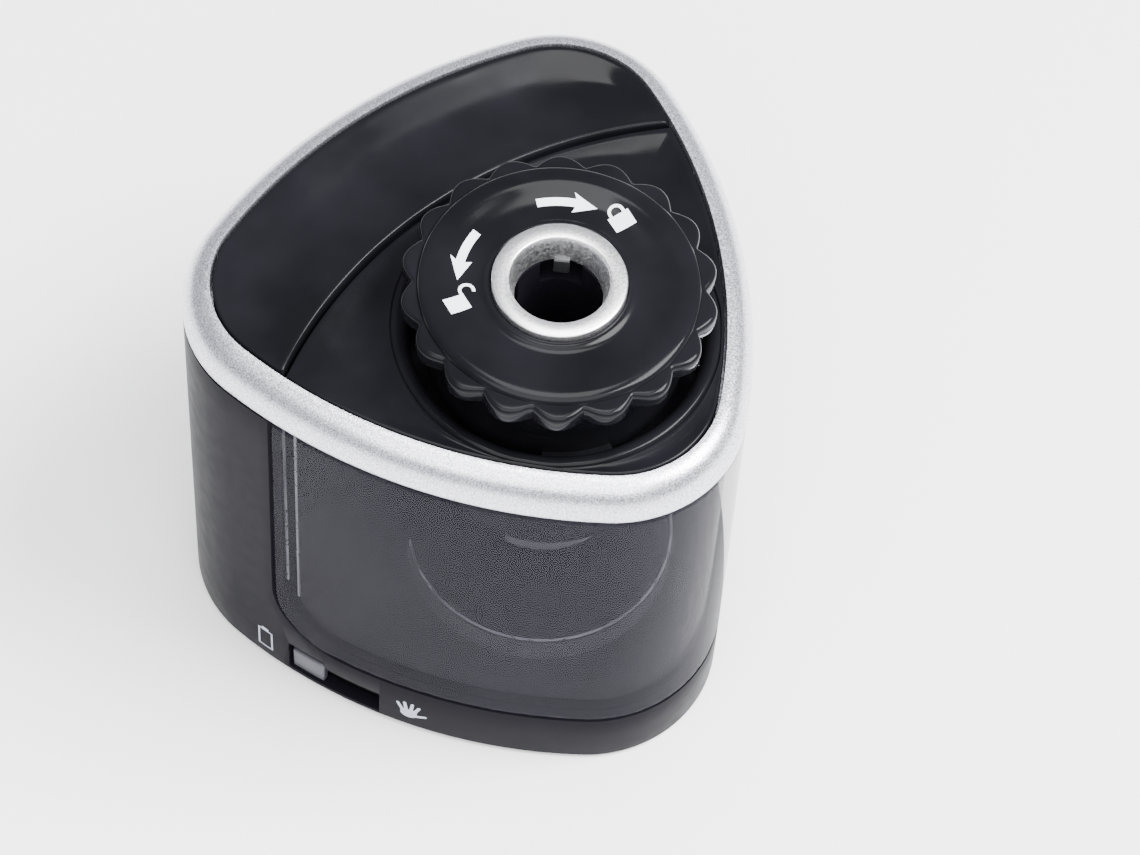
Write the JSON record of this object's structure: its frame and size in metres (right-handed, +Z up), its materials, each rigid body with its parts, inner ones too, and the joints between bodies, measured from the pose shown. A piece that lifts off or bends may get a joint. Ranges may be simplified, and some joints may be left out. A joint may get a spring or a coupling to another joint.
{
  "type": "battery pencil sharpener",
  "caption": "Rounded triangular battery pencil sharpener: scalloped cutter knob, satin bezel, clear smoke chip drawer, mode slider and a geared helical cutter inside.",
  "frame": {"origin": "middle of the footprint at table level, under the rubber feet", "axes": "+Z up, -Y to the rounded corner that holds the chip drawer, +X to the right when facing the drawer"},
  "size_m": [0.083, 0.081, 0.0857],
  "materials": {
    "gloss_black": "polished moulded black plastic",
    "satin_black": "satin moulded black plastic with a fine texture",
    "satin_silver": "satin silver paint with a fine metal grain",
    "smoke_clear": "transparent smoke-tinted plastic, polished",
    "steel": "ground tool steel",
    "nickel": "nickel-plated strip and wire",
    "white_plastic": "natural white acetal",
    "grey_plastic": "light grey moulded plastic",
    "dark_grey": "dark grey moulded plastic",
    "rubber": "soft black rubber",
    "battery_jacket": "plain printed jacket on a steel can"
  },
  "bodies": {
    "housing": {"body_shell": "satin_black", "bezel": "satin_silver", "rear_deck": "gloss_black", "front_deck": "gloss_black", "base_cover": "satin_black", "cutter_housing": "satin_black", "ring_gear": "white_plastic", "gear_plate": "grey_plastic", "motor": "steel", "compound_axle": "steel", "idler_axle": "steel", "contact_strap_left": "nickel", "contact_strap_right": "nickel", "mode_switch": "satin_black", "rubber_foot_1": "rubber", "rubber_foot_2": "rubber", "rubber_foot_3": "rubber", "rubber_foot_4": "rubber", "cover_screw_1": "steel", "cover_screw_2": "steel", "cover_screw_3": "steel", "cover_screw_4": "steel", "battery_1": "battery_jacket", "battery_2": "battery_jacket", "battery_3": "battery_jacket", "battery_4": "battery_jacket", "contact_spring_1": "nickel", "contact_spring_2": "nickel", "contact_spring_3": "nickel", "contact_spring_4": "nickel"},
    "knob_unit": {"knob": "gloss_black", "metal_ring": "satin_silver", "guide_tube": "satin_black"},
    "feeler": {"start_feeler": "dark_grey"},
    "drawer": {"chip_drawer": "smoke_clear"},
    "door": {"battery_door": "satin_black"},
    "slider": {"mode_slider": "grey_plastic"},
    "carrier": {"cutter_carrier": "dark_grey", "cutter_axle": "steel"},
    "cutter": {"helical_cutter": "steel", "cutter_pinion": "white_plastic"},
    "idler": {"idler_gear": "white_plastic"},
    "compound": {"compound_gear": "white_plastic"},
    "rotor": {"motor_shaft": "steel", "motor_pinion": "nickel"}
  },
  "joints": [
    {"name": "knob_turn", "type": "hinge", "parent": "housing", "child": "knob_unit", "pos_m": [0, -0.00856, 0.076], "axis": [0, 0, 1], "range_deg": [0, 45]},
    {"name": "feeler_press", "type": "slide", "parent": "knob_unit", "child": "feeler", "axis": [0.6947, 0.7193, 0], "range_m": [0, 0.0014], "stiffness_N_per_m": 150, "springref_m": -0.001},
    {"name": "drawer_slide", "type": "slide", "parent": "housing", "child": "drawer", "axis": [0, -1, 0], "range_m": [0, 0.045]},
    {"name": "door_hinge", "type": "hinge", "parent": "housing", "child": "door", "pos_m": [0, 0.01025, 0.001], "axis": [-1, 0, 0], "range_deg": [0, 80]},
    {"name": "mode_slide", "type": "slide", "parent": "housing", "child": "slider", "axis": [0.3827, -0.9239, 0], "range_m": [0, 0.0092]},
    {"name": "carrier_spin", "type": "hinge", "parent": "housing", "child": "carrier", "pos_m": [0, -0.00856, 0.06], "axis": [0, 0, 1], "continuous": true},
    {"name": "cutter_spin", "type": "hinge", "parent": "carrier", "child": "cutter", "pos_m": [0.00392, -0.00856, 0.02922], "axis": [0.1961, 0, 0.9806], "continuous": true},
    {"name": "idler_spin", "type": "hinge", "parent": "housing", "child": "idler", "pos_m": [-0.00482, 0.00971, 0.061], "axis": [0, 0, 1], "continuous": true},
    {"name": "compound_spin", "type": "hinge", "parent": "housing", "child": "compound", "pos_m": [-0.0085, 0.01625, 0.061], "axis": [0, 0, 1], "continuous": true},
    {"name": "motor_spin", "type": "hinge", "parent": "housing", "child": "rotor", "pos_m": [0, 0.02291, 0.061], "axis": [0, 0, 1], "continuous": true}
  ],
  "couplings": [
    {"joint": "idler_spin", "follows": "carrier_spin", "ratio": -3.2},
    {"joint": "compound_spin", "follows": "carrier_spin", "ratio": 4.8},
    {"joint": "motor_spin", "follows": "carrier_spin", "ratio": -16.8},
    {"joint": "cutter_spin", "follows": "carrier_spin", "ratio": -3.0714}
  ]
}
